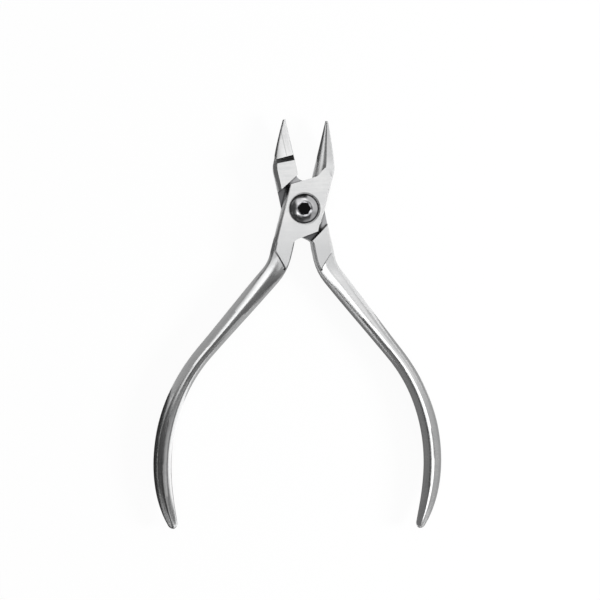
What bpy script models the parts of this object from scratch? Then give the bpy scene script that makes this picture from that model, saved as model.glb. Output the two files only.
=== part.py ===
"""Orthodontic pliers for bending light wire: one round beak, one pyramidal beak, two bowed handles.

The two forged halves cross in a lap joint and turn on a hexagon-socket screw. Each half is drawn
in the closed position, about the pivot and with Z = 0 at the plane where the halves lap, and is
then turned open by half the opening. +Y points along the beaks, +X to the right as seen from the
screw's head, +Z up. The world's origin is on the pivot axis, in the plane that the joint rests on.
"""

import math

import bmesh
import bpy
from mathutils import Matrix, Vector

MM = 0.001

# Driving dimensions of the joint
REST_OPENING = math.radians(25.0)
JOINT_THICKNESS = 9.2 * MM
JOINT_WAIST = 13.0 * MM
JOINT_HOLLOW_TO_BEAK = 0.2 * MM
JOINT_HOLLOW_TO_HANDLE = 0.05 * MM
JOINT_SIDE_REACH = 12.0 * MM
JOINT_DRAFT = 0.68 * MM
FORGING_EDGE = 0.22 * MM
BEAK_SHOULDER_ANGLE = math.radians(30.5)
HANDLE_SHOULDER_ANGLE = math.radians(34.5)
PLATE_REACH_TO_BEAK = 8.2 * MM
PLATE_REACH_TO_HANDLE = 7.95 * MM
LAP_GAP = 0.3 * MM
SWING_CLEARANCE = 0.3 * MM
BEAK_LINE_GAP = 0.3 * MM

# Tongue of the plate that runs up onto the round beak
TONGUE_START = 1.55 * MM
TONGUE_TIP_LEFT = (3.2 * MM, 13.4 * MM)
TONGUE_TIP_RIGHT = (3.75 * MM, 13.65 * MM)
TONGUE_HEEL_SLOPE = 1.18

# Root of the handle, where the pad at full thickness ends in a slanted step
ROOT_INNER = 1.05 * MM
ROOT_FILLET = 3.0 * MM
ROOT_TOP_Y = 6.0 * MM
ROOT_ENTRY_WIDTH = 5.4 * MM
PAD_LEDGE = 0.06 * MM
PAD_DRAFT = 0.3 * MM
PAD_INNER_DRAFT = 0.1 * MM
STEP_OUTER_X = 5.6 * MM
STEP_OUTER_Y = 14.3 * MM
STEP_ANGLE = math.radians(47.0)
STEP_RAMP = math.radians(72.0)

# Handle: a straight root, an outward bend, a straight arm and a long inward bow
HANDLE_START_X = 3.475 * MM
HANDLE_START_Y = 9.0 * MM
HANDLE_ROOT_LENGTH = 7.0 * MM
HANDLE_FLARE = math.radians(27.3)
HANDLE_BEND_RADIUS = 13.0 * MM
HANDLE_ARM_LENGTH = 31.2 * MM
HANDLE_BOW_RADIUS = 52.8 * MM
HANDLE_TOE_IN = math.radians(34.7)
HANDLE_ROOT_WIDTH = 6.45 * MM
HANDLE_WAIST_WIDTH = 5.05 * MM
HANDLE_PALM_WIDTH = 5.5 * MM
HANDLE_END_WIDTH = 2.4 * MM
HANDLE_SHOULDER_AT = 12.0 * MM
HANDLE_INNER_SHOULDER_AT = 6.0 * MM
HANDLE_WAIST_AT = 48.0 * MM
HANDLE_PALM_AT = 72.0 * MM
HANDLE_ROOT_THICKNESS = 7.0 * MM
HANDLE_PALM_THICKNESS = 6.6 * MM
HANDLE_END_THICKNESS = 3.0 * MM
HANDLE_ROOT_DRAFT = 0.75 * MM
HANDLE_DRAFT = 1.1 * MM
HANDLE_INNER_ROOT_DRAFT = 0.12 * MM
HANDLE_CROWN = 0.5 * MM
HANDLE_NOSE = 1.3 * MM
HANDLE_NOSE_THICKNESS_SHARE = 0.35
HANDLE_NOSE_ANGLES = (0.0, 0.5, 0.95, 1.3, 1.5)
HANDLE_WIDTH_TAPER_POWER = 4
HANDLE_THICKNESS_TAPER_POWER = 2
HANDLE_RING_PITCH = 1.7 * MM

# Beaks, in the closed position
BEAK_LENGTH = 27.9 * MM
BEAK_BASE_Y = 5.5 * MM
BEAK_OVERLAP = 2.5 * MM
BEAK_THROAT_Y = 9.0 * MM
BEAK_WIDE_Y = 14.0 * MM
BEAK_ROUNDING = 0.8 * MM
BEAK_ROUNDING_REACH = 1.9 * MM
BEAK_SEAT = 0.04 * MM
BEAK_TIP_WIDTH = 0.95 * MM
BEAK_LINE_OFFSET = 0.35 * MM
ROUND_BULGE = 0.15 * MM
PYRAMID_BULGE = 0.25 * MM
ROUND_RIDGE_ANGLE = math.radians(72.0)
ROUND_FACET_FALL = 0.16
ROUND_EDGE_BAND = 0.8 * MM
ROUND_EDGE_ROUNDING = (0.25, 0.55)
ROUND_ARC_STEPS = 6
ROUND_STATIONS = 9
PYRAMID_STEP_Y = 14.95 * MM
PYRAMID_STEP_RUN = 1.6 * MM
PYRAMID_STEP_SKEW = 0.055
PYRAMID_BASE_THICKNESS = 6.8 * MM
PYRAMID_TIP_THICKNESS = 1.1 * MM
PYRAMID_RIDGE = 2.0 * MM
PYRAMID_FACET_FALL = 0.26
PYRAMID_INNER_DRAFT = 0.15 * MM
PYRAMID_INNER_EDGE = 0.12 * MM
THROAT_FILLET = 3.0 * MM
THROAT_SEAT = 2.5 * MM
PYRAMID_STATIONS = 8

# Pivot screw
SCREW_HEAD = 9.1 * MM
SCREW_SHANK = 5.6 * MM
SCREW_CLEARANCE = 0.3 * MM
COUNTERBORE_CLEARANCE = 0.32 * MM
COUNTERBORE_DEPTH = 2.7 * MM
SCREW_RIM_BELOW_FACE = 0.55 * MM
SCREW_DOME_HEIGHT = 1.35 * MM
SCREW_RIM_CHAMFER = 0.18 * MM
SCREW_TAIL_CHAMFER = 0.25 * MM
SOCKET_ACROSS_FLATS = 3.5 * MM
SOCKET_DEPTH = 3.0 * MM
SOCKET_CHAMFER = 0.4 * MM

# Derived values
HALF_THICKNESS = JOINT_THICKNESS / 2
ROUND_INNER = BEAK_LINE_OFFSET + BEAK_LINE_GAP / 2
PYRAMID_INNER = BEAK_LINE_OFFSET - BEAK_LINE_GAP / 2
PAD_LENGTH = STEP_OUTER_Y - HANDLE_START_Y + STEP_OUTER_X * math.tan(STEP_ANGLE) + HALF_THICKNESS
BORE = SCREW_SHANK + 2 * SCREW_CLEARANCE
COUNTERBORE = SCREW_HEAD + 2 * COUNTERBORE_CLEARANCE
COUNTERBORE_FLOOR = HALF_THICKNESS - COUNTERBORE_DEPTH
TURNED_STEPS = 64
DOME_STEPS = 10
CORNER_STEPS = 6
SIDE_STEPS = 3
DRAFT_LIMIT = 0.55
CROWN_LIMIT = 0.2
SHARP_EDGE = math.radians(24)
WELD = 0.000001
OUTSIDE = 4 * MM
HALF_TURN = Matrix.Rotation(math.pi, 4, "Y")


def clear_scene():
    for thing in list(bpy.data.objects):
        bpy.data.objects.remove(thing, do_unlink=True)


def collection(name):
    found = bpy.data.collections.new(name)
    bpy.context.scene.collection.children.link(found)
    return found


def steel(name, colour, roughness):
    material = bpy.data.materials.new(name)
    material.use_nodes = True
    shader = material.node_tree.nodes["Principled BSDF"]
    shader.inputs["Base Color"].default_value = (*colour, 1)
    shader.inputs["Metallic"].default_value = 1.0
    shader.inputs["Roughness"].default_value = roughness
    return material


def object_from(name, mesh_builder, holder):
    mesh = bpy.data.meshes.new(name)
    mesh_builder.to_mesh(mesh)
    mesh_builder.free()
    made = bpy.data.objects.new(name, mesh)
    holder.objects.link(made)
    return made


def lofted(name, rings, holder):
    """A closed skin through rings that have the same number of points."""
    builder = bmesh.new()
    rows = [[builder.verts.new(point) for point in ring] for ring in rings]
    count = len(rings[0])
    for row, following in zip(rows, rows[1:]):
        for i in range(count):
            j = (i + 1) % count
            builder.faces.new((row[i], row[j], following[j], following[i]))
    builder.faces.new(rows[0])
    builder.faces.new(rows[-1])
    bmesh.ops.recalc_face_normals(builder, faces=builder.faces)
    return object_from(name, builder, holder)


def prism(name, outline, low, high, holder):
    """An upright block with the given outline."""
    rings = [[Vector((x, y, z)) for x, y in outline] for z in (low, high)]
    return lofted(name, rings, holder)


def turned(name, profile, holder):
    """A solid of revolution about Z from a profile that runs down its outer side."""
    builder = bmesh.new()
    points = [builder.verts.new((x, 0, z)) for x, z in profile]
    for start, end in zip(points, points[1:]):
        builder.edges.new((start, end))
    made = object_from(name, builder, holder)
    turn = made.modifiers.new("turn", "SCREW")
    turn.axis = "Z"
    turn.steps = TURNED_STEPS
    turn.render_steps = TURNED_STEPS
    turn.use_merge_vertices = True
    turn.merge_threshold = WELD
    return made


def bake(made):
    """The evaluated mesh takes the place of the object's own mesh and modifiers."""
    bpy.context.view_layer.update()
    evaluated = made.evaluated_get(bpy.context.evaluated_depsgraph_get())
    mesh = bpy.data.meshes.new_from_object(evaluated)
    made.modifiers.clear()
    made.data = mesh
    return made


def hide_cutter(made):
    made.hide_render = True
    made.display_type = "WIRE"


def combine(target, tool, operation, label, solver="MANIFOLD"):
    """A boolean step; the forgings' flush faces need the manifold solver."""
    step = target.modifiers.new(label, "BOOLEAN")
    step.operation = operation
    step.solver = solver
    step.object = tool
    hide_cutter(tool)


def side_profile(half_thickness, draft, edge=FORGING_EDGE):
    """Points (height, inset) up a forged side, from the parting line to the face's rounded edge."""
    height = half_thickness - edge
    points = []
    for i in range(SIDE_STEPS + 1):
        share = i / SIDE_STEPS
        points.append((height * share, draft * share ** 2))
    points.append((half_thickness, draft + edge))
    return points


def forged_section(left, right, half_thickness, draft_left, draft_right, crown=0.0):
    """Points (across, up) round a forged bar: swelling sides and a face, above and below."""
    rise = [(right - inset, up) for up, inset in side_profile(half_thickness - crown, draft_right)]
    fall = [(left + inset, up) for up, inset in side_profile(half_thickness - crown, draft_left)]
    middle = (rise[-1][0] + fall[-1][0]) / 2
    half_face = (rise[-1][0] - fall[-1][0]) / 2
    top = []
    for share in (0.5, 0.0, -0.5):
        top.append((middle + half_face * share, half_thickness - crown * share ** 2))
    upper = rise + top + fall[::-1]
    lower = [(across, -up) for across, up in upper[-2:0:-1]]
    return upper + lower


def joint_half_width(y):
    """The joint's sides are slightly hollow between its shoulders."""
    hollow = JOINT_HOLLOW_TO_BEAK if y > 0 else JOINT_HOLLOW_TO_HANDLE
    return JOINT_WAIST / 2 + hollow * (y / JOINT_SIDE_REACH) ** 2


def edge_y(x, angle, distance, slope_sign):
    """Height at x of the line at a shoulder's angle that passes the pivot at the given distance."""
    return (distance + slope_sign * x * math.sin(angle)) / math.cos(angle)


def beak_edge_y(x):
    """The plate's edge towards the beaks, which rises to the right."""
    return edge_y(x, BEAK_SHOULDER_ANGLE, PLATE_REACH_TO_BEAK, 1)


def handle_edge_y(x):
    """The plate's edge towards the handles, which also rises to the right."""
    return -edge_y(x, HANDLE_SHOULDER_ANGLE, PLATE_REACH_TO_HANDLE, -1)


def swing_distance(angle, reach, side):
    """How far the other half's shoulder lies, so that the plate's corner swings past it."""
    half = joint_half_width(side * reach)
    corner = edge_y(half, angle, reach, -1)
    return math.hypot(half, corner) + SWING_CLEARANCE


def joint_barrel(holder):
    """The joint's full-thickness bar, with its hollow swelling sides."""
    rings = []
    reach = int(JOINT_SIDE_REACH / MM) + 4
    for step in range(-reach, reach + 1, 2):
        y = step * MM
        half = joint_half_width(y)
        section = forged_section(-half, half, HALF_THICKNESS, JOINT_DRAFT, JOINT_DRAFT)
        rings.append([Vector((x, y, z)) for x, z in section])
    return lofted("joint_bar", rings, holder)


def rounded_corner(before, corner, after, radius):
    """Points of the arc that rounds a corner between the two neighbours that it has."""
    corner = Vector(corner)
    back = (Vector(before) - corner).normalized()
    ahead = (Vector(after) - corner).normalized()
    half = back.angle(ahead) / 2
    centre = corner + (back + ahead).normalized() * radius / math.sin(half)
    start = corner + back * radius / math.tan(half) - centre
    end = corner + ahead * radius / math.tan(half) - centre
    points = []
    for i in range(CORNER_STEPS + 1):
        spoke = start.slerp(end, i / CORNER_STEPS) * radius
        points.append(tuple(centre + spoke))
    return points


def root_corner():
    """The rounded corner where the plate's lower edge runs into the root's inner side."""
    wide = JOINT_WAIST / 2 + OUTSIDE
    corner = (-ROOT_INNER, handle_edge_y(-ROOT_INNER))
    below = (-ROOT_INNER, corner[1] - OUTSIDE)
    return rounded_corner(below, corner, (wide, handle_edge_y(wide)), ROOT_FILLET)


def throat_corner():
    """The rounded corner where the plate's upper edge runs into the pyramidal beak's inner side."""
    wide = JOINT_WAIST / 2 + OUTSIDE
    inner = PYRAMID_INNER_DRAFT + PYRAMID_INNER_EDGE - PYRAMID_INNER
    corner = (inner, beak_edge_y(inner))
    above = (inner, corner[1] + OUTSIDE)
    return rounded_corner(above, corner, (-wide, beak_edge_y(-wide)), THROAT_FILLET)


def plate_outline(tongue):
    """The lapped plate: shoulder edges above and below, and the tongue on the round beak's half."""
    wide = JOINT_WAIST / 2 + OUTSIDE
    rounded_root = root_corner()
    outline = [(-wide, beak_edge_y(-wide)), (-wide, rounded_root[0][1])]
    outline += rounded_root
    outline.append((wide, handle_edge_y(wide)))
    if tongue:
        tip_x, tip_y = TONGUE_TIP_RIGHT
        outline.append((wide, tip_y - (wide - tip_x) * TONGUE_HEEL_SLOPE))
        outline += [TONGUE_TIP_RIGHT, TONGUE_TIP_LEFT]
        outline.append((TONGUE_START, beak_edge_y(TONGUE_START)))
    else:
        overlap_y = BEAK_BASE_Y + BEAK_OVERLAP
        rounded_throat = throat_corner()
        outline += [(wide, overlap_y), (THROAT_SEAT, overlap_y)]
        outline.append((THROAT_SEAT, rounded_throat[0][1]))
        outline += rounded_throat
    return outline


def plate(tongue, holder, cutters):
    bar = joint_barrel(holder)
    beyond = HALF_THICKNESS + OUTSIDE
    form = prism("plate_form", plate_outline(tongue), -beyond, beyond, cutters)
    combine(bar, form, "INTERSECT", "plate outline")
    return bake(bar)


def step_ramp(cutters):
    """The wedges that end the pad in a slanted ramp on both faces."""
    along = Vector((math.cos(STEP_ANGLE), -math.sin(STEP_ANGLE), 0))
    outward = Vector((-math.sin(STEP_ANGLE), -math.cos(STEP_ANGLE), 0))
    edge = Vector((-STEP_OUTER_X, -STEP_OUTER_Y, 0))
    back = OUTSIDE / math.tan(STEP_RAMP)
    run = HALF_THICKNESS / math.tan(STEP_RAMP)
    section = [
        (outward * -back, HALF_THICKNESS + OUTSIDE),
        (outward * run, 0.0),
        (outward * -back, -HALF_THICKNESS - OUTSIDE),
        (outward * PAD_LENGTH, -HALF_THICKNESS - OUTSIDE),
        (outward * PAD_LENGTH, HALF_THICKNESS + OUTSIDE),
    ]
    rings = []
    for side in (-PAD_LENGTH, PAD_LENGTH):
        base = edge + along * side
        rings.append([base + offset + Vector((0, 0, up)) for offset, up in section])
    return lofted("step_ramp", rings, cutters)


def handle_path():
    """(point, heading, distance) along the middle of the handle, down from the joint."""
    bend = HANDLE_BEND_RADIUS * HANDLE_FLARE
    bow = HANDLE_BOW_RADIUS * (HANDLE_FLARE + HANDLE_TOE_IN)
    stretches = (
        (HANDLE_ROOT_LENGTH, 0.0),
        (bend, 1 / HANDLE_BEND_RADIUS),
        (HANDLE_ARM_LENGTH, 0.0),
        (bow, -1 / HANDLE_BOW_RADIUS),
    )
    x = -HANDLE_START_X
    y = -HANDLE_START_Y
    heading = 0.0
    distance = 0.0
    entry = HANDLE_START_Y - ROOT_TOP_Y
    places = [(Vector((x, -ROOT_TOP_Y, 0)), heading, -entry)]
    places.append((Vector((x, y, 0)), heading, distance))
    for length, curvature in stretches:
        count = max(1, round(length / HANDLE_RING_PITCH))
        part = length / count
        for _ in range(count):
            middle = heading + curvature * part / 2
            x -= math.sin(middle) * part
            y -= math.cos(middle) * part
            heading += curvature * part
            distance += part
            places.append((Vector((x, y, 0)), heading, distance))
    return places


def eased(share):
    share = min(1.0, max(0.0, share))
    return share * share * (3 - 2 * share)


def handle_width(distance, length):
    entry = HANDLE_START_Y - ROOT_TOP_Y
    if distance < entry:
        share = eased((distance + entry) / (2 * entry))
        return ROOT_ENTRY_WIDTH + (HANDLE_ROOT_WIDTH - ROOT_ENTRY_WIDTH) * share
    slim = eased((distance - HANDLE_SHOULDER_AT) / (HANDLE_WAIST_AT - HANDLE_SHOULDER_AT))
    swell = eased((distance - HANDLE_WAIST_AT) / (HANDLE_PALM_AT - HANDLE_WAIST_AT))
    beyond_palm = max(0.0, (distance - HANDLE_PALM_AT) / (length - HANDLE_PALM_AT))
    taper = beyond_palm ** HANDLE_WIDTH_TAPER_POWER
    width = HANDLE_ROOT_WIDTH + (HANDLE_WAIST_WIDTH - HANDLE_ROOT_WIDTH) * slim
    width += (HANDLE_PALM_WIDTH - HANDLE_WAIST_WIDTH) * swell
    return width + (HANDLE_END_WIDTH - HANDLE_PALM_WIDTH) * taper


def handle_thickness(distance, length):
    thin = min(1.0, distance / HANDLE_PALM_AT)
    beyond_palm = max(0.0, (distance - HANDLE_PALM_AT) / (length - HANDLE_PALM_AT))
    taper = beyond_palm ** HANDLE_THICKNESS_TAPER_POWER
    thickness = HANDLE_ROOT_THICKNESS + (HANDLE_PALM_THICKNESS - HANDLE_ROOT_THICKNESS) * thin
    return thickness + (HANDLE_END_THICKNESS - HANDLE_PALM_THICKNESS) * taper


def handle_draft(distance, half_width):
    share = eased((distance - HANDLE_SHOULDER_AT) / HANDLE_SHOULDER_AT)
    draft = HANDLE_ROOT_DRAFT + (HANDLE_DRAFT - HANDLE_ROOT_DRAFT) * share
    return min(draft, DRAFT_LIMIT * half_width)


def handle_inner_draft(distance, half_width):
    """The root's inner side is nearly upright; the draft grows where the handle bends away."""
    share = eased((distance - HANDLE_INNER_SHOULDER_AT) / HANDLE_SHOULDER_AT)
    draft = HANDLE_INNER_ROOT_DRAFT + (HANDLE_DRAFT - HANDLE_INNER_ROOT_DRAFT) * share
    return min(draft, DRAFT_LIMIT * half_width)


def pad(holder, cutters):
    """The raised pad at full thickness on both faces of the root, ended by the slanted ramp."""
    places = handle_path()
    length = places[-1][2]
    rings = []
    for point, heading, distance in places:
        if distance > PAD_LENGTH:
            break
        half_width = handle_width(distance, length) / 2
        base = half_width - FORGING_EDGE - PAD_LEDGE
        outer = base - handle_draft(distance, half_width) + PAD_DRAFT
        inner = base - handle_inner_draft(distance, half_width) + PAD_INNER_DRAFT
        section = forged_section(-outer, inner, HALF_THICKNESS, PAD_DRAFT, PAD_INNER_DRAFT)
        across = Vector((math.cos(heading), -math.sin(heading), 0))
        rings.append([point + across * a + Vector((0, 0, up)) for a, up in section])
    bar = lofted("pad_bar", rings, holder)
    combine(bar, step_ramp(cutters), "DIFFERENCE", "slanted step")
    return bake(bar)


def handle(holder):
    """The bowed handle, a forged section carried along its path to a rounded toe."""
    places = handle_path()
    length = places[-1][2]
    nose = [length - HANDLE_NOSE * (1 - math.sin(angle)) for angle in HANDLE_NOSE_ANGLES]
    body = [place for place in places if place[2] < nose[0] - HANDLE_RING_PITCH / 3]
    end_point, end_heading, _ = places[-1]
    for distance in nose:
        back = length - distance
        turn = end_heading + back / HANDLE_BOW_RADIUS
        middle = (turn + end_heading) / 2
        offset = Vector((math.sin(middle) * back, math.cos(middle) * back, 0))
        body.append((end_point + offset, turn, distance))
    rings = []
    for point, heading, distance in body:
        into_nose = max(0.0, (distance - nose[0]) / HANDLE_NOSE)
        rounding = math.sqrt(max(0.0, 1 - into_nose ** 2))
        half_width = handle_width(distance, length) / 2 * rounding
        thinning = HANDLE_NOSE_THICKNESS_SHARE + (1 - HANDLE_NOSE_THICKNESS_SHARE) * rounding
        half_thickness = handle_thickness(distance, length) / 2 * thinning
        outer = handle_draft(distance, half_width)
        inner = handle_inner_draft(distance, half_width)
        crown = min(HANDLE_CROWN, CROWN_LIMIT * half_thickness)
        section = forged_section(-half_width, half_width, half_thickness, outer, inner, crown)
        across = Vector((math.cos(heading), -math.sin(heading), 0))
        rings.append([point + across * a + Vector((0, 0, up)) for a, up in section])
    return lofted("handle_bar", rings, holder)


def beak_outer(y, tip, bulge):
    """Distance of a beak's outer side from the pivot's middle line, rounded where it is widest."""
    share = (y - BEAK_WIDE_Y) / (BEAK_LENGTH - BEAK_WIDE_Y)
    base = joint_half_width(BEAK_WIDE_Y) - BEAK_SEAT
    taper = base + (tip - base) * share + bulge * math.sin(math.pi * max(0.0, share))
    body = joint_half_width(y) - BEAK_SEAT
    blend = min(1.0, max(0.0, 0.5 + (taper - body) / (2 * BEAK_ROUNDING)))
    return taper + (body - taper) * blend - BEAK_ROUNDING * blend * (1 - blend)


def shoulder_stations():
    """Rings round the widest place, before the taper's own stations."""
    shares = (-1.0, -0.5, 0.0, 0.5)
    return [BEAK_BASE_Y, BEAK_THROAT_Y] + [BEAK_WIDE_Y + BEAK_ROUNDING_REACH * s for s in shares]


def beak_stations(first, count):
    return [first + (BEAK_LENGTH - first) * i / count for i in range(count + 1)]


def round_beak(holder):
    """A conical working side, and behind its ridge a flat facet on each face."""
    rings = []
    tip = BEAK_TIP_WIDTH + BEAK_LINE_OFFSET
    base_half = (joint_half_width(BEAK_WIDE_Y) - BEAK_SEAT - ROUND_INNER) / 2
    rounding_in, rounding_up = ROUND_EDGE_ROUNDING
    taper_start = BEAK_WIDE_Y + BEAK_ROUNDING_REACH
    for y in shoulder_stations() + beak_stations(taper_start, ROUND_STATIONS):
        half = (beak_outer(y, tip, ROUND_BULGE) - ROUND_INNER) / 2
        nose = half / (1 - math.cos(ROUND_RIDGE_ANGLE))
        upper = []
        for i in range(ROUND_ARC_STEPS + 1):
            angle = ROUND_RIDGE_ANGLE * i / ROUND_ARC_STEPS
            upper.append((ROUND_INNER + nose * (1 - math.cos(angle)), nose * math.sin(angle)))
        ridge = upper[-1][1]
        edge = ROUND_EDGE_BAND * half / base_half
        upper.append((ROUND_INNER + 2 * half - edge, ridge - ROUND_FACET_FALL * (half - edge)))
        upper.append((ROUND_INNER + 2 * half - rounding_in * edge, rounding_up * ridge))
        upper.append((ROUND_INNER + 2 * half, 0.0))
        lower = [(x, -z) for x, z in upper[-2:0:-1]]
        rings.append([Vector((x, y, z)) for x, z in upper + lower])
    return lofted("beak_bar", rings, holder)


def pyramid_beak(holder):
    """The full-thickness body, a step down, and the faceted taper to the tip; drawn at -X."""
    step_end = PYRAMID_STEP_Y + PYRAMID_STEP_RUN
    heights = [(y, HALF_THICKNESS) for y in shoulder_stations() + [PYRAMID_STEP_Y]]
    for y in beak_stations(step_end, PYRAMID_STATIONS):
        share = (y - step_end) / (BEAK_LENGTH - step_end)
        thickness = PYRAMID_BASE_THICKNESS + (PYRAMID_TIP_THICKNESS - PYRAMID_BASE_THICKNESS) * share
        heights.append((y, thickness / 2))
    tip = BEAK_TIP_WIDTH - BEAK_LINE_OFFSET
    rings = []
    for y, top in heights:
        outer = beak_outer(y, tip, PYRAMID_BULGE)
        thinned = top / HALF_THICKNESS
        draft = JOINT_DRAFT * thinned
        face_edge = outer - draft - FORGING_EDGE
        ridge = min(PYRAMID_RIDGE, face_edge - PYRAMID_INNER_EDGE)
        fall = PYRAMID_FACET_FALL * (face_edge - ridge) if y > step_end - WELD else 0.0
        inner = side_profile(top, PYRAMID_INNER_DRAFT * thinned, PYRAMID_INNER_EDGE)
        outside = side_profile(top - fall, draft)
        upper = [(PYRAMID_INNER - inset, up) for up, inset in inner]
        upper.append((-ridge, top))
        upper += [(-outer + inset, up) for up, inset in outside[::-1]]
        lower = [(x, -z) for x, z in upper[-2:0:-1]]
        skew = PYRAMID_STEP_SKEW if abs(y - step_end) < WELD else 0.0
        rings.append([Vector((x, y + skew * (x + PYRAMID_RIDGE), z)) for x, z in upper + lower])
    return lofted("beak_bar", rings, holder)


def lap_cutter(cutters):
    """Everything below the lap plane between the two shoulders of the other half's pocket."""
    to_beak = swing_distance(BEAK_SHOULDER_ANGLE, PLATE_REACH_TO_BEAK, 1)
    to_handle = swing_distance(HANDLE_SHOULDER_ANGLE, PLATE_REACH_TO_HANDLE, -1)
    wide = JOINT_WAIST
    outline = [
        (-wide, edge_y(wide, BEAK_SHOULDER_ANGLE, to_beak, 1)),
        (-wide, -edge_y(wide, HANDLE_SHOULDER_ANGLE, to_handle, -1)),
        (wide, -edge_y(wide, HANDLE_SHOULDER_ANGLE, to_handle, 1)),
        (wide, edge_y(wide, BEAK_SHOULDER_ANGLE, to_beak, -1)),
    ]
    return prism("lap_pocket", outline, -HALF_THICKNESS - OUTSIDE, LAP_GAP / 2, cutters)


def bore_cutter(name, diameter, low, high, cutters):
    radius = diameter / 2
    profile = [(0, high), (radius, high), (radius, low), (0, low)]
    return bake(turned(name, profile, cutters))


def half_of_pliers(name, beak, turned_over, opening, material, holder, cutters):
    """Plate, root, handle and beak made one forging, then cut for the lap and the pivot."""
    body = plate(not turned_over, holder, cutters)
    for piece in (handle(holder), pad(holder, cutters)):
        combine(body, piece, "UNION", piece.name)
        bake(body)
        bpy.data.objects.remove(piece)
    if turned_over:
        body.data.transform(HALF_TURN)
    combine(body, beak, "UNION", "beak")
    bake(body)
    bpy.data.objects.remove(beak)
    pocket = lap_cutter(cutters)
    if turned_over:
        pocket.data.transform(HALF_TURN)
    combine(body, pocket, "DIFFERENCE", "lap pocket")
    bore = bore_cutter("pivot_bore", BORE, -HALF_THICKNESS - OUTSIDE, HALF_THICKNESS + OUTSIDE, cutters)
    combine(body, bore, "DIFFERENCE", "pivot bore")
    if not turned_over:
        top = HALF_THICKNESS + OUTSIDE
        seat = bore_cutter("head_counterbore", COUNTERBORE, COUNTERBORE_FLOOR, top, cutters)
        combine(body, seat, "DIFFERENCE", "head counterbore")
    bake(body)
    body.name = name
    body.data.name = name
    body.location = (0, 0, HALF_THICKNESS)
    body.rotation_euler = (0, 0, opening)
    body.data.materials.clear()
    body.data.materials.append(material)
    body.data.shade_smooth()
    body.data.set_sharp_from_angle(angle=SHARP_EDGE)
    return body


def screw_profile():
    """Down the outer side: domed head, rim, seat, shank and the flat tail."""
    head = SCREW_HEAD / 2
    shank = SCREW_SHANK / 2
    rim = HALF_THICKNESS - SCREW_RIM_BELOW_FACE
    chord = head - SCREW_RIM_CHAMFER
    radius = (chord ** 2 + SCREW_DOME_HEIGHT ** 2) / (2 * SCREW_DOME_HEIGHT)
    sweep = math.asin(chord / radius)
    profile = []
    for i in range(DOME_STEPS + 1):
        angle = sweep * i / DOME_STEPS
        fall = radius * (1 - math.cos(angle))
        profile.append((radius * math.sin(angle), rim + SCREW_DOME_HEIGHT - fall))
    seat = COUNTERBORE_FLOOR + SCREW_CLEARANCE
    profile += [(head, rim - SCREW_RIM_CHAMFER), (head, seat), (shank, seat)]
    tail = -HALF_THICKNESS
    profile += [(shank, tail + SCREW_TAIL_CHAMFER), (shank - SCREW_TAIL_CHAMFER, tail), (0, tail)]
    return profile


def pivot_screw(material, holder, cutters):
    screw = bake(turned("pivot_screw", screw_profile(), holder))
    top = HALF_THICKNESS - SCREW_RIM_BELOW_FACE + SCREW_DOME_HEIGHT
    corner = SOCKET_ACROSS_FLATS / 2 / math.cos(math.pi / 6)
    outline = [(corner * math.cos(i * math.pi / 3), corner * math.sin(i * math.pi / 3)) for i in range(6)]
    hexagon = prism("socket_hexagon", outline, top - SOCKET_DEPTH, top + OUTSIDE, cutters)
    combine(screw, hexagon, "DIFFERENCE", "socket", "EXACT")
    mouth = corner + SOCKET_CHAMFER
    dome = (SCREW_HEAD / 2) ** 2 / (2 * SCREW_DOME_HEIGHT)
    lip = top - mouth ** 2 / (2 * dome)
    cone = [(0, lip + mouth), (2 * mouth, lip + mouth), (0, lip - mouth)]
    countersink = bake(turned("socket_countersink", cone, cutters))
    combine(screw, countersink, "DIFFERENCE", "socket chamfer", "EXACT")
    bake(screw)
    screw.location = (0, 0, HALF_THICKNESS)
    screw.data.materials.clear()
    screw.data.materials.append(material)
    screw.data.shade_smooth()
    screw.data.set_sharp_from_angle(angle=SHARP_EDGE)
    return screw


def build():
    clear_scene()
    pliers = collection("orthodontic_pliers")
    cutters = collection("cutters")
    satin = steel("satin_steel", (0.72, 0.72, 0.72), 0.24)
    satin_back = steel("satin_steel_back", (0.70, 0.70, 0.71), 0.24)
    polished = steel("polished_screw_steel", (0.62, 0.62, 0.63), 0.10)
    half_of_pliers(
        "front_half", round_beak(pliers), False, -REST_OPENING / 2, satin, pliers, cutters
    )
    half_of_pliers(
        "back_half", pyramid_beak(pliers), True, REST_OPENING / 2, satin_back, pliers, cutters
    )
    pivot_screw(polished, pliers, cutters)


build()
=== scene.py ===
"""The looks of the orthodontic pliers: satin forged steel, a polished pivot screw and a white studio.

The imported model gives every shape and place. This script adds the finishes, the softened edges,
the floor, the light and the camera. Lengths are in metres unless a table says mm.
"""

import math

import bpy
from mathutils import Matrix, Vector


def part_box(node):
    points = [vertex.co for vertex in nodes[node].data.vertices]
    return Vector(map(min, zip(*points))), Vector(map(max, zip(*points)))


MM = 0.001

# Softened edges
WELD_DISTANCE = 0.001 * MM
SHARP_ANGLE = math.radians(20)
FORGING_EDGE_WIDTH = 0.12 * MM
SCREW_EDGE_WIDTH = 0.06 * MM
EDGE_STEPS = 3

# Camera, in line with the photograph
IMAGE_SIZE = 600
SENSOR = 36.0
CAMERA_DISTANCE = 450 * MM
CAMERA_SCALE = 0.3035 * MM
CAMERA_LEAN = math.radians(6.5)
CAMERA_PITCH = math.radians(1.0)
CAMERA_ROLL = math.radians(0.92)
CAMERA_NEAR = 10 * MM
SCREW_HEAD_PIXEL = (304.6, 208.4)

# Floor and its share of plain white
FLOOR_HALF = 1.5
FLOOR_DROP = 0.02 * MM
FLOOR_COLOUR = (0.86, 0.86, 0.86, 1)
FLOOR_WHITE_TO_CAMERA = 0.94
FLOOR_WHITE_IN_METAL = 0.12

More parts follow.
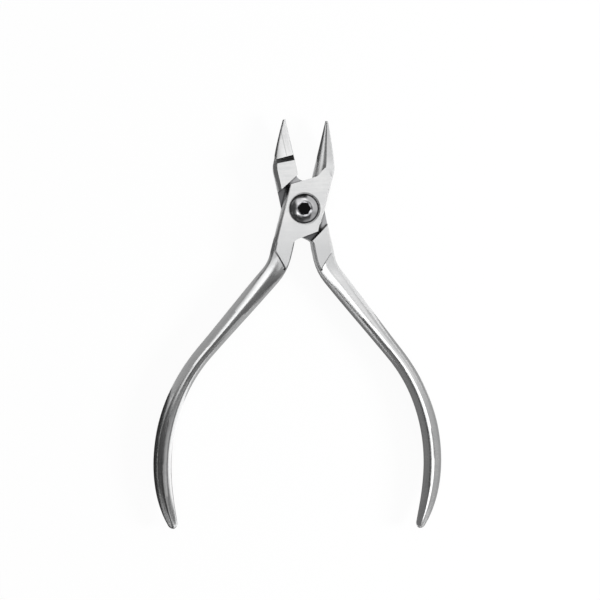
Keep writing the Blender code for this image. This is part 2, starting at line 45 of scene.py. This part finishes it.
# Places on the pliers that the finishes and the painted shade follow
LAP_PLANE = 4.6 * MM
LAP_HALF_GAP = 0.25 * MM
JOINT_REACH = 12.5 * MM
SOCKET_RADIUS = 2.05 * MM
SOCKET_TOP = 8.9 * MM
BEAK_TURN = math.radians(12.5)
RIDGE_PLACE = 2.0 * MM
RIDGE_START = 16.6 * MM
RIDGE_LINE_WIDTH = 0.16 * MM
ROOT_BEGINS = (5 * MM, 13 * MM)
ROOT_ENDS = (17 * MM, 20 * MM)
WAIST_LAP_EDGE = (-5.2 * MM, -4.0 * MM)
THROAT_LAP_EDGE = (-7.2 * MM, -6.2 * MM)

# Colours of the steel, and of the shade painted on it
FRONT_TONE = 0.755
BACK_TONE = 0.745
DULL_SHARE = (0.93, 0.935, 0.94)
# Painted shade: the handles' roots are painted darker than the rest of the steel
ROOT_SHADE_SHARE = (0.85, 0.855, 0.86)
WORN_EDGE = (0.86, 0.86, 0.86, 1)
# Painted shade: the grey of the line along the beak's ridge
RIDGE_SHADE_GREY = (0.2, 0.2, 0.2, 1)
# Painted shade: the recessed lap faces, darker at the waist and in the throat, near black in deep
# corners, and the joint's walls that face the pivot
OPEN_LAP_SHADE = (0.42, 0.42, 0.43, 1)
WAIST_LAP_SHADE = (0.13, 0.13, 0.135, 1)
THROAT_LAP_SHADE = (0.12, 0.12, 0.125, 1)
DEEP_CORNER_SHADE = (0.01, 0.01, 0.01, 1)
JOINT_WALL_SHADE = (0.02, 0.02, 0.02, 1)
SCREW_STEEL = (0.66, 0.66, 0.67, 1)
# The socket's inside: painted shade of the deep hole, with its dirt
SOCKET_SHADE_AND_DIRT = (0.008, 0.008, 0.008, 1)

# Marks in the steel: how finely each noise repeats
GRAIN_SCALE = 5200.0
BRUSHING_SCALE = 3000.0
STREAK_SCALE = 1300.0
DRIFT_SCALE = 140.0
POLISH_SCALE = 400.0
TURNING_RINGS = 90000.0
BRUSHING_STRETCH = (0.12, 1.0, 1.0)
STREAK_STRETCH = (0.1, 1.0, 1.0)
EDGE_WEAR_RADIUS = 0.22 * MM
# How far the painted shade of deep corners reaches
CORNER_DEPTH = 1.0 * MM

# The tent's glow in degrees: strength, angle off straight up, bearing, full within, gone beyond
BASE_GLOW = 0.05
GLOWS = [
    (0.62, 60, 35, 30, 58),
    (0.9, 37, 103, 16, 30),
    (0.85, 76, 152, 8, 19),
    (0.8, 20, 140, 9, 19),
    (0.25, 80, 140, 10, 28),
    (1.7, 19, 226, 11, 21),
    (0.3, 68, 290, 8, 22),
    (0.8, 35, 235, 7, 16),
    (0.36, 31, 27, 12, 21),
    (0.16, 84, 232, 20, 30),
]

# Lamps: place, target, width, depth and brightness
OVERHEAD = ((0.022, 0.0125, 0.33), (0.022, 0.0125, 0), 0.185, 0.195, 0.67)
SIDE = ((0.6, -0.1, 0.35), (0, -0.03, 0), 0.2, 0.2, 36.0)

# Level cards that only the steel sees, in mm: height, shade and corners
LEVEL_CARDS = {
    "joint_card": (0.3, 0.14, [(-70, -13), (-10.5, -13), (-10.5, 16), (-70, 16)]),
    "beak_card": (0.3, 0.075, [(-80, 16.5), (7.5, 16.5), (7.5, 89), (-80, 89)]),
    "left_arm_card": (0.3, 0.42, [(-100, -54), (-43, -54), (-10.5, -13), (-100, -13)]),
    "left_palm_card": (0.3, 0.03, [(-120, -130), (-26, -130), (-42, -54), (-120, -54)]),
    "left_inner_card": (
        0.3, 0.5,
        [(-6, -18.5), (1.5, -18.5), (-1, -41), (6, -53.5), (6, -60), (-38, -60)],
    ),
    "inner_card": (
        0.3, 1.25,
        [(-40.5, -61), (-36.5, -75), (-29, -110), (10.2, -110), (0.2, -61)],
    ),
    "right_arm_card": (0.3, 0.2, [(0, -40), (4, -12), (40, -50), (18, -60)]),
    "right_palm_card": (
        0.3, 0.2,
        [(18, -60), (40, -50), (42, -80), (30, -105), (28, -118), (13.5, -118), (2, -62)],
    ),
    "right_rim_card": (
        0.3, 0.42,
        [(21.5, -30), (44.5, -55), (46, -80), (30, -110), (100, -110), (100, -30)],
    ),
    "palm_card": (100, 0.03, [(-130, -180), (-22, -180), (-22, -52), (-130, -52)]),
    "crest_card": (
        20, 0.12,
        [
            (-10.2, -13.6), (-4.6, -19.9), (0, -24), (-13, -46), (-24, -56),
            (-31.5, -54), (-30.8, -50), (-25, -39.5), (-12.2, -22.4),
        ],
    ),
}

# Standing cards that only the steel sees, in mm: height, shade and the two ends of the foot
STANDING_CARDS = {
    "far_card": (80, 0.0, (-85, 90), (30, 90)),
    "palm_wall": (30, 0.17, (12.5, -118), (1, -62)),
    "left_arm_wall": (30, 0.38, (-62, -48), (-29, -9.5)),
    "right_card": (120, 0.5, (100, -200), (100, -40)),
}

# Sockets of a Mix node that mixes colours
MIX_SHARE = 0
MIX_FIRST = 6
MIX_SECOND = 7
MIX_RESULT = 2


class Link:
    """One output of a shader node; arithmetic on it adds Math nodes."""

    def __init__(self, graph, socket):
        self.graph = graph
        self.socket = socket

    def math(self, operation, first, second):
        return self.graph.add("ShaderNodeMath", {"operation": operation}, {0: first, 1: second})

    def __add__(self, other):
        return self.math("ADD", self, other)

    def __radd__(self, other):
        return self.math("ADD", other, self)

    def __sub__(self, other):
        return self.math("SUBTRACT", self, other)

    def __rsub__(self, other):
        return self.math("SUBTRACT", other, self)

    def __mul__(self, other):
        return self.math("MULTIPLY", self, other)

    def __rmul__(self, other):
        return self.math("MULTIPLY", other, self)

    def __abs__(self):
        return self.graph.add("ShaderNodeMath", {"operation": "ABSOLUTE"}, {0: self})

    def between(self, low, high):
        """0 below low, 1 above high and a smooth rise from one to the other."""
        settings = {"interpolation_type": "SMOOTHSTEP"}
        return self.graph.add("ShaderNodeMapRange", settings, {0: self, 1: low, 2: high})


class Graph:
    """A node tree that is emptied and filled again."""

    def __init__(self, tree):
        self.tree = tree
        tree.nodes.clear()

    def add(self, kind, settings=None, inputs=None, output=0):
        """A node with its settings made first and its inputs next; gives one of its outputs."""
        node = self.tree.nodes.new(kind)
        for name, value in (settings or {}).items():
            setattr(node, name, value)
        for name, value in (inputs or {}).items():
            if isinstance(value, Link):
                self.tree.links.new(value.socket, node.inputs[name])
            else:
                node.inputs[name].default_value = value
        return Link(self, node.outputs[output]) if node.outputs else None

    def noise(self, place, scale, detail):
        inputs = {"Vector": place, "Scale": scale, "Detail": detail}
        return self.add("ShaderNodeTexNoise", None, inputs)

    def part(self, vector, axis):
        return self.add("ShaderNodeSeparateXYZ", None, {0: vector}, axis)

    def stretched(self, place, stretch):
        return self.add("ShaderNodeVectorMath", {"operation": "MULTIPLY"}, {0: place, 1: stretch})

    def length(self, vector):
        return self.add("ShaderNodeVectorMath", {"operation": "LENGTH"}, {0: vector}, "Value")

    def toward(self, direction, aim):
        """How far a direction points at an aim: 1 straight at it, 0 square to it."""
        dot = {"operation": "DOT_PRODUCT"}
        return self.add("ShaderNodeVectorMath", dot, {0: direction, 1: aim}, "Value")

    def mixed(self, share, first, second):
        """A colour that goes from the first to the second as the share goes from 0 to 1."""
        inputs = {MIX_SHARE: share, MIX_FIRST: first, MIX_SECOND: second}
        return self.add("ShaderNodeMix", {"data_type": "RGBA"}, inputs, MIX_RESULT)

    def bumped(self, strength, distance, height):
        inputs = {"Strength": strength, "Distance": distance, "Height": height}
        return self.add("ShaderNodeBump", None, inputs)

    def metal(self, colour, roughness, normal):
        """Bare metal as the material's surface."""
        inputs = {"Base Color": colour, "Metallic": 1.0, "Roughness": roughness, "Normal": normal}
        shader = self.add("ShaderNodeBsdfPrincipled", None, inputs)
        self.add("ShaderNodeOutputMaterial", None, {"Surface": shader})

    def seen_by(self, ray):
        """1 for one kind of ray and 0 for the others."""
        return self.add("ShaderNodeLightPath", None, None, ray)


def aimed(polar, azimuth):
    """A unit vector from its angle off straight up and its bearing from +X, in degrees."""
    polar = math.radians(polar)
    azimuth = math.radians(azimuth)
    return (
        math.sin(polar) * math.cos(azimuth),
        math.sin(polar) * math.sin(azimuth),
        math.cos(polar),
    )


def new_material(name):
    material = bpy.data.materials.new(name)
    material.use_nodes = True
    return material, Graph(material.node_tree)


def toned(tone, shares):
    """A grey of one tone, with its own share of red, green and blue."""
    return (*(tone * share for share in shares), 1)


def joint_recesses(graph, place, facing):
    """Masks of the lap's bearing faces, and of the walls of the joint that face the pivot, where shade
    is painted.
    """
    off_lap = abs(graph.part(place, "Z") - LAP_PLANE)
    level = abs(graph.part(facing, "Z"))
    lap = (1 - off_lap.between(LAP_HALF_GAP * 0.9, LAP_HALF_GAP)) * level.between(0.7, 0.9)
    outward = graph.stretched(place, (1, 1, 0))
    radius = graph.length(outward)
    away = graph.add("ShaderNodeVectorMath", {"operation": "NORMALIZE"}, {0: outward})
    inward = (0 - graph.toward(facing, away)).between(0.35, 0.6)
    walls = inward * (1 - radius.between(JOINT_REACH * 0.9, JOINT_REACH))
    return lap, walls


def ridge_shade_line(graph, place):
    """A thin grey line of painted shade along the pyramidal beak's ridge, where its facets meet."""
    across = graph.toward(place, (math.cos(BEAK_TURN), math.sin(BEAK_TURN), 0))
    along = graph.toward(place, (-math.sin(BEAK_TURN), math.cos(BEAK_TURN), 0))
    off = abs(across + RIDGE_PLACE)
    near = 1 - off.between(RIDGE_LINE_WIDTH * 0.5, RIDGE_LINE_WIDTH)
    return near * along.between(RIDGE_START, RIDGE_START + 0.1 * MM)


def lap_painted_shade(graph, across, along):
    """Painted shade on the recessed lap faces, darker at the waist, in the throat and in deep corners.
    """
    recess_shade = graph.mixed(across.between(*WAIST_LAP_EDGE), WAIST_LAP_SHADE, OPEN_LAP_SHADE)
    recess_shade = graph.mixed(along.between(*THROAT_LAP_EDGE), THROAT_LAP_SHADE, recess_shade)
    # Painted shade: corners that ambient occlusion finds hidden are painted near black
    open_air = graph.add("ShaderNodeAmbientOcclusion", {"samples": 8}, {"Distance": CORNER_DEPTH}, "AO")
    return graph.mixed(open_air.between(0.55, 0.8), DEEP_CORNER_SHADE, recess_shade)


def satin_steel(name, tone):
    """Blasted and brushed stainless steel: fine grain, drifting gloss, brighter worn edges, and painted
    shade on the roots, the lap faces, the joint's walls and the ridge line.
    """
    material, graph = new_material(name)
    place = graph.add("ShaderNodeTexCoord", None, None, "Object")
    grain = graph.noise(place, GRAIN_SCALE, 3.0)
    brushing = graph.noise(graph.stretched(place, BRUSHING_STRETCH), BRUSHING_SCALE, 2.0)
    streaks = graph.noise(graph.stretched(place, STREAK_STRETCH), STREAK_SCALE, 3.0)
    drift = graph.noise(place, DRIFT_SCALE, 3.0)
    rounded = graph.add("ShaderNodeBevel", {"samples": 6}, {"Radius": EDGE_WEAR_RADIUS})
    flat = graph.add("ShaderNodeNewGeometry", None, None, "Normal")
    edge = 1 - graph.toward(rounded, flat).between(0.93, 0.998)

    patchy = (drift * 0.5 + streaks * 0.5).between(0.38, 0.62)
    tint = graph.mixed(patchy, toned(tone, DULL_SHARE), (tone, tone, tone, 1))
    across = graph.part(place, "X")
    along = graph.part(place, "Y")
    down = 0 - along
    # Painted shade: the handles' roots are painted darker, and a grey line of painted shade runs along
    # the ridge
    root_shade = down.between(*ROOT_BEGINS) * (1 - down.between(*ROOT_ENDS))
    tint = graph.mixed(root_shade, tint, toned(tone, ROOT_SHADE_SHARE))
    tint = graph.mixed(ridge_shade_line(graph, place) * 0.35, tint, RIDGE_SHADE_GREY)
    worn = graph.mixed(edge * 0.5, tint, WORN_EDGE)
    facing = graph.add("ShaderNodeTexCoord", None, None, "Normal")
    # Painted shade: the lap faces are painted darker and the joint's walls that face the pivot near
    # black
    lap, walls = joint_recesses(graph, place, facing)
    with_lap_shade = graph.mixed(lap, worn, lap_painted_shade(graph, across, along))
    colour = graph.mixed(walls * 0.92, with_lap_shade, JOINT_WALL_SHADE)

    roughness = 0.2 + drift * 0.06 + grain * 0.05 - edge * 0.05
    bump = graph.bumped(0.08, 0.02 * MM, grain * 0.6 + brushing * 0.4)
    graph.metal(colour, roughness, bump)
    return material


def polished_steel(name):
    """The turned and polished screw, with faint turning rings and a socket painted near black: painted
    shade of the deep hole, with its dirt.
    """
    material, graph = new_material(name)
    place = graph.add("ShaderNodeTexCoord", None, None, "Object")
    radius = graph.length(graph.stretched(place, (1, 1, 0)))
    rings = graph.add("ShaderNodeMath", {"operation": "SINE"}, {0: radius * TURNING_RINGS})
    drift = graph.noise(place, POLISH_SCALE, 3.0)
    bump = graph.bumped(0.06, 0.01 * MM, rings * 0.3 + drift * 0.7)
    # The socket is painted near black: painted shade of the deep hole, with its dirt
    inside = 1 - radius.between(SOCKET_RADIUS * 0.98, SOCKET_RADIUS)
    below = 1 - graph.part(place, "Z").between(SOCKET_TOP * 0.99, SOCKET_TOP)
    colour = graph.mixed(inside * below, SCREW_STEEL, SOCKET_SHADE_AND_DIRT)
    graph.metal(colour, 0.13 + drift * 0.08, bump)
    return material


def white_share(graph):
    """How much plain white the camera, metal and glass see in the floor."""
    in_metal = graph.seen_by("Is Glossy Ray") + graph.seen_by("Is Transmission Ray")
    return graph.seen_by("Is Camera Ray") * FLOOR_WHITE_TO_CAMERA + in_metal * FLOOR_WHITE_IN_METAL


def floor_material():
    material, graph = new_material("white_floor")
    lit = graph.add("ShaderNodeBsdfDiffuse", None, {"Color": FLOOR_COLOUR})
    plain = graph.add("ShaderNodeEmission", None, {"Color": (1, 1, 1, 1), "Strength": 1.0})
    surface = graph.add("ShaderNodeMixShader", None, {0: white_share(graph), 1: lit, 2: plain})
    graph.add("ShaderNodeOutputMaterial", None, {"Surface": surface})
    return material


def floor():
    mesh = bpy.data.meshes.new("floor")
    corners = [(-1, -1), (1, -1), (1, 1), (-1, 1)]
    mesh.from_pydata([(x * FLOOR_HALF, y * FLOOR_HALF, 0) for x, y in corners], [], [(0, 1, 2, 3)])
    made = bpy.data.objects.new("floor", mesh)
    bpy.context.scene.collection.objects.link(made)
    made.data.materials.append(floor_material())
    made.location.z = -FLOOR_DROP


def studio_world():
    """A tent of soft light: bright overhead, dark behind the beaks and at the left."""
    world = bpy.data.worlds.new("studio")
    bpy.context.scene.world = world
    world.use_nodes = True
    graph = Graph(world.node_tree)
    direction = graph.add("ShaderNodeTexCoord", None, None, "Generated")

    def patch(polar, azimuth, inner, outer):
        """1 within an angle of a direction, fading to 0 at a wider one."""
        reach = graph.toward(direction, aimed(polar, azimuth))
        return reach.between(math.cos(math.radians(outer)), math.cos(math.radians(inner)))

    level = BASE_GLOW
    for glow, polar, azimuth, inner, outer in GLOWS:
        level = level + glow * patch(polar, azimuth, inner, outer)
    camera_ray = graph.seen_by("Is Camera Ray")
    strength = camera_ray + (1 - camera_ray) * level
    inputs = {"Color": (1, 1, 1, 1), "Strength": strength}
    background = graph.add("ShaderNodeBackground", None, inputs)
    graph.add("ShaderNodeOutputWorld", None, {"Surface": background})


def reflector(name, corners, shade):
    """A card of one plain shade round its corners in mm, which only the steel can see."""
    mesh = bpy.data.meshes.new(name)
    points = [(x * MM, y * MM, z * MM) for x, y, z in corners]
    mesh.from_pydata(points, [], [tuple(range(len(points)))])
    material, graph = new_material(name)
    inputs = {"Color": (shade, shade, shade, 1), "Strength": 1.0}
    plain = graph.add("ShaderNodeEmission", None, inputs)
    graph.add("ShaderNodeOutputMaterial", None, {"Surface": plain})
    made = bpy.data.objects.new(name, mesh)
    made.data.materials.append(material)
    bpy.context.scene.collection.objects.link(made)
    made.visible_camera = False
    made.visible_diffuse = False
    made.visible_shadow = False


def cards():
    """Cards that lie level, and cards that stand on the floor."""
    for name, (height, shade, outline) in LEVEL_CARDS.items():
        reflector(name, [(x, y, height) for x, y in outline], shade)
    for name, (height, shade, start, end) in STANDING_CARDS.items():
        reflector(name, [(*start, 0), (*end, 0), (*end, height), (*start, height)], shade)


def softbox(name, place, target, width, depth, brightness):
    """A rectangular light at a place, facing a target; brightness is what steel sees in it."""
    lamp = bpy.data.lights.new(name, "AREA")
    lamp.shape = "RECTANGLE"
    lamp.size = width
    lamp.size_y = depth
    lamp.energy = math.pi * width * depth * brightness
    made = bpy.data.objects.new(name, lamp)
    bpy.context.scene.collection.objects.link(made)
    made.location = place
    away = Vector(place) - Vector(target)
    made.rotation_euler = away.to_track_quat("Z", "Y").to_euler()
    return made


def camera():
    """Placed so that the screw's head falls on its pixel at the photograph's distance."""
    out = Vector((
        -math.sin(CAMERA_LEAN) * math.cos(CAMERA_PITCH),
        math.sin(CAMERA_PITCH),
        math.cos(CAMERA_LEAN) * math.cos(CAMERA_PITCH),
    ))
    level = Vector((0, 1, 0)).cross(out).normalized()
    upright = out.cross(level)
    right = level * math.cos(CAMERA_ROLL) + upright * math.sin(CAMERA_ROLL)
    up = upright * math.cos(CAMERA_ROLL) - level * math.sin(CAMERA_ROLL)
    focal = CAMERA_DISTANCE / CAMERA_SCALE
    centre = IMAGE_SIZE / 2
    ray = right * ((SCREW_HEAD_PIXEL[0] - centre) / focal)
    ray += up * ((centre - SCREW_HEAD_PIXEL[1]) / focal)
    ray -= out
    face = Vector((0, 0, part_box("front_half")[1].z))
    data = bpy.data.cameras.new("camera")
    data.sensor_width = SENSOR
    data.lens = focal / IMAGE_SIZE * SENSOR
    data.clip_start = CAMERA_NEAR
    made = bpy.data.objects.new("camera", data)
    axes = Matrix((right, up, out)).transposed()
    made.matrix_world = Matrix.Translation(face - ray * CAMERA_DISTANCE) @ axes.to_4x4()
    bpy.context.scene.collection.objects.link(made)
    bpy.context.scene.camera = made


def welded_group():
    """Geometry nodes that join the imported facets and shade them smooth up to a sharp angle."""
    group = bpy.data.node_groups.new("welded_facets", "GeometryNodeTree")
    group.interface.new_socket("Geometry", in_out="INPUT", socket_type="NodeSocketGeometry")
    group.interface.new_socket("Geometry", in_out="OUTPUT", socket_type="NodeSocketGeometry")
    graph = Graph(group)
    geometry = graph.add("NodeGroupInput")
    inputs = {"Geometry": geometry, "Name": "custom_normal"}
    loose = graph.add("GeometryNodeRemoveAttribute", None, inputs)
    inputs = {"Geometry": loose, "Distance": WELD_DISTANCE}
    welded = graph.add("GeometryNodeMergeByDistance", None, inputs)
    faces = graph.add("GeometryNodeSetShadeSmooth", {"domain": "FACE"}, {"Geometry": welded})
    angle = graph.add("GeometryNodeInputMeshEdgeAngle")
    less = {"operation": "LESS_THAN"}
    gentle = graph.add("FunctionNodeCompare", less, {0: angle, 1: SHARP_ANGLE})
    inputs = {"Geometry": faces, "Shade Smooth": gentle}
    edges = graph.add("GeometryNodeSetShadeSmooth", {"domain": "EDGE"}, inputs)
    graph.add("NodeGroupOutput", None, {"Geometry": edges})
    return group


def dress(node, material, edge_width, group):
    """One piece with its finish, its facets joined and its edges softened."""
    node.data.materials.clear()
    node.data.materials.append(material)
    node.modifiers.new("welded facets", "NODES").node_group = group
    soft = node.modifiers.new("softened edges", "BEVEL")
    soft.width = edge_width
    soft.segments = EDGE_STEPS
    soft.limit_method = "ANGLE"
    soft.angle_limit = SHARP_ANGLE
    soft.harden_normals = True


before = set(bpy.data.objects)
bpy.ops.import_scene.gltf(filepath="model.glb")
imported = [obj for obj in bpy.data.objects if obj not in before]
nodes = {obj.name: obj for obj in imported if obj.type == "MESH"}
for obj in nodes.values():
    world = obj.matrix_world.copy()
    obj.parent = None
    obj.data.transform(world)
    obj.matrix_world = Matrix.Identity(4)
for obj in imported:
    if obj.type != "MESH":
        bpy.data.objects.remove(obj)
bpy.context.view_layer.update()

facets = welded_group()
front_steel = satin_steel("forged_satin_steel", FRONT_TONE)
back_steel = satin_steel("forged_satin_steel_back", BACK_TONE)
screw_steel = polished_steel("polished_screw_steel_turned")
dress(nodes["front_half"], front_steel, FORGING_EDGE_WIDTH, facets)
dress(nodes["back_half"], back_steel, FORGING_EDGE_WIDTH, facets)
dress(nodes["pivot_screw"], screw_steel, SCREW_EDGE_WIDTH, facets)
floor()
studio_world()
cards()
softbox("overhead", *OVERHEAD)
side = softbox("side", *SIDE)
side.visible_glossy = False
camera()
bpy.context.scene.view_settings.view_transform = "Standard"
